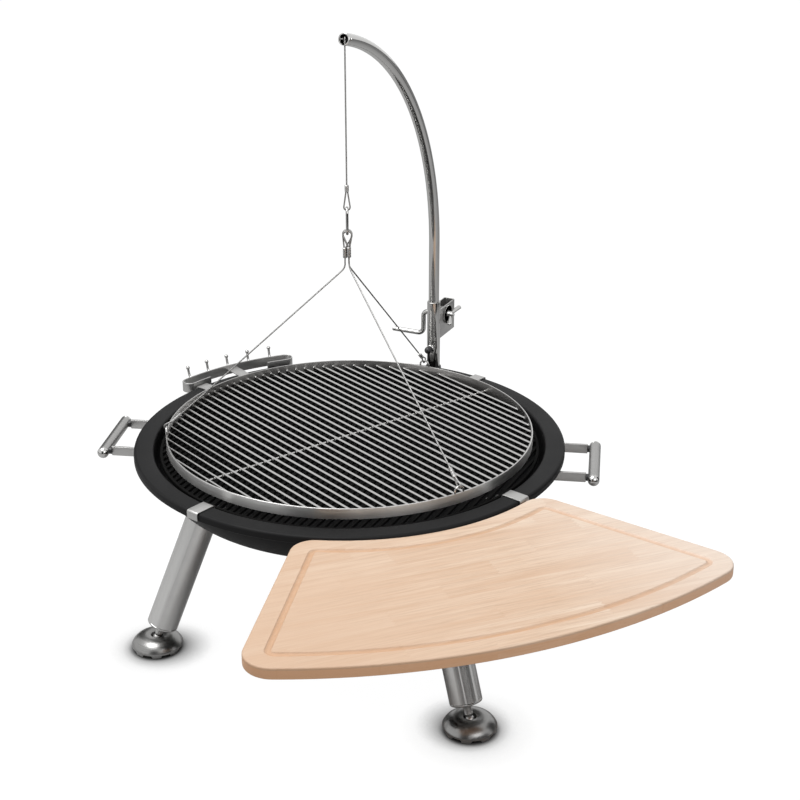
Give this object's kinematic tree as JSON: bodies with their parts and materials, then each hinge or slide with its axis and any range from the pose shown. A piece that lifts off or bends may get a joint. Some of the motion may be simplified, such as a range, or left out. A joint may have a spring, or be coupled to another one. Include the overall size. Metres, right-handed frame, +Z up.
{
  "type": "swivel grill",
  "caption": "Three-legged fire bowl grill: a winch raises a round grate hung on slings from a bent arm that swivels on a post, with a pull-out side board, utensil rail and levelling feet",
  "frame": {"origin": "on the floor under the centre of the fire bowl", "axes": "+Z up, +Y from the bowl's centre to the post of the arm, +X to the right"},
  "size_m": [1.2391, 1.2223, 1.1813],
  "materials": {
    "bowl_paint": "matte anthracite",
    "brushed_stainless": "brushed",
    "polished_stainless": "polished",
    "satin_stainless": "satin",
    "cable_steel": "stranded",
    "black_plastic": "matte",
    "black_rubber": "matte",
    "coal_iron": "rough",
    "board_wood": "oiled"
  },
  "bodies": {
    "stand": {"fire_bowl": "bowl_paint", "leg_tube_1": "brushed_stainless", "leg_tube_2": "brushed_stainless", "leg_tube_3": "brushed_stainless", "leg_plug_1": "polished_stainless", "leg_plug_2": "polished_stainless", "leg_plug_3": "polished_stainless", "handle_arms_left": "satin_stainless", "handle_arms_right": "satin_stainless", "handle_grip_left": "brushed_stainless", "handle_grip_right": "brushed_stainless", "handle_end_caps": "polished_stainless", "handle_spacers": "black_plastic", "pivot_post": "polished_stainless", "post_collar": "black_plastic", "rim_hangers": "satin_stainless", "charcoal_ring": "coal_iron", "charcoal_bars": "coal_iron", "board_receivers": "bowl_paint"},
    "arm": {"arm_sleeve": "polished_stainless", "arm_tube": "polished_stainless", "winch_housing": "satin_stainless", "tip_axle": "polished_stainless", "cable_in_arm": "cable_steel", "hoist_cable": "cable_steel"},
    "winch": {"crank": "polished_stainless", "cable_drum": "black_plastic", "drum_winding": "cable_steel"},
    "brake_nut": {"wing_nut": "polished_stainless"},
    "clamp": {"clamp_screw": "polished_stainless", "clamp_knob": "black_plastic"},
    "roller": {"tip_roller": "black_plastic"},
    "grate": {"grate_ring": "polished_stainless", "grate_rods": "polished_stainless", "grate_cross_rod": "polished_stainless", "grate_bails": "polished_stainless", "sling_cable_1": "cable_steel", "sling_cable_2": "cable_steel", "sling_cable_3": "cable_steel", "sling_ferrules": "satin_stainless", "snap_hook": "polished_stainless", "gate_pin": "polished_stainless", "hoist_eye": "cable_steel", "hoist_ferrule": "satin_stainless"},
    "gate": {"hook_gate": "polished_stainless"},
    "board": {"side_board": "board_wood", "board_arms": "satin_stainless", "board_screws": "satin_stainless"},
    "rail": {"rail_band": "satin_stainless", "rail_strap": "satin_stainless", "rail_hooks": "polished_stainless"},
    "foot_1": {"foot_stud_1": "polished_stainless", "foot_dome_1": "polished_stainless", "foot_pad_1": "black_rubber"},
    "foot_2": {"foot_stud_2": "polished_stainless", "foot_dome_2": "polished_stainless", "foot_pad_2": "black_rubber"},
    "foot_3": {"foot_stud_3": "polished_stainless", "foot_dome_3": "polished_stainless", "foot_pad_3": "black_rubber"}
  },
  "joints": [
    {"name": "swivel", "type": "hinge", "parent": "stand", "child": "arm", "pos_m": [0, 0.383, 0.5], "axis": [0, 0, 1], "range_deg": [-8, 120]},
    {"name": "hoist", "type": "slide", "parent": "arm", "child": "grate", "axis": [0, 0, 1], "range_m": [0, 0.22], "deforming": ["hoist_cable"]},
    {"name": "winch_turn", "type": "hinge", "parent": "arm", "child": "winch", "pos_m": [0, 0.424, 0.541], "axis": [1, 0, 0], "range_deg": [0, 746]},
    {"name": "roller_turn", "type": "hinge", "parent": "arm", "child": "roller", "pos_m": [0, 0.0055, 1.16893], "axis": [1, 0, 0], "range_deg": [-2294, 0]},
    {"name": "brake_nut_turn", "type": "hinge", "parent": "winch", "child": "brake_nut", "pos_m": [0, 0.424, 0.541], "axis": [1, 0, 0], "continuous": true},
    {"name": "clamp_turn", "type": "hinge", "parent": "arm", "child": "clamp", "pos_m": [0, 0.36, 0.483], "axis": [0, -1, 0], "continuous": true},
    {"name": "gate_swing", "type": "hinge", "parent": "grate", "child": "gate", "pos_m": [-0.00431, 0.00847, 0.8398], "axis": [0.891, 0.454, 0], "range_deg": [0, 25], "stiffness_Nm_per_rad": 0.02, "springref_deg": -22.92},
    {"name": "board_slide", "type": "slide", "parent": "stand", "child": "board", "axis": [0.7302, -0.6833, 0], "range_m": [0, 0.12]},
    {"name": "rail_lift", "type": "slide", "parent": "stand", "child": "rail", "axis": [0, 0, 1], "range_m": [0, 0.08]},
    {"name": "foot_1_screw", "type": "slide", "parent": "stand", "child": "foot_1", "axis": [0, 0.3584, -0.9336], "range_m": [0, 0.015]},
    {"name": "foot_2_screw", "type": "slide", "parent": "stand", "child": "foot_2", "axis": [-0.3104, -0.1792, -0.9336], "range_m": [0, 0.015]},
    {"name": "foot_3_screw", "type": "slide", "parent": "stand", "child": "foot_3", "axis": [0.3104, -0.1792, -0.9336], "range_m": [0, 0.015]}
  ],
  "couplings": [
    {"joint": "winch_turn", "follows": "hoist", "rad_per_m": 58.997},
    {"joint": "roller_turn", "follows": "hoist", "rad_per_m": -181.82}
  ]
}
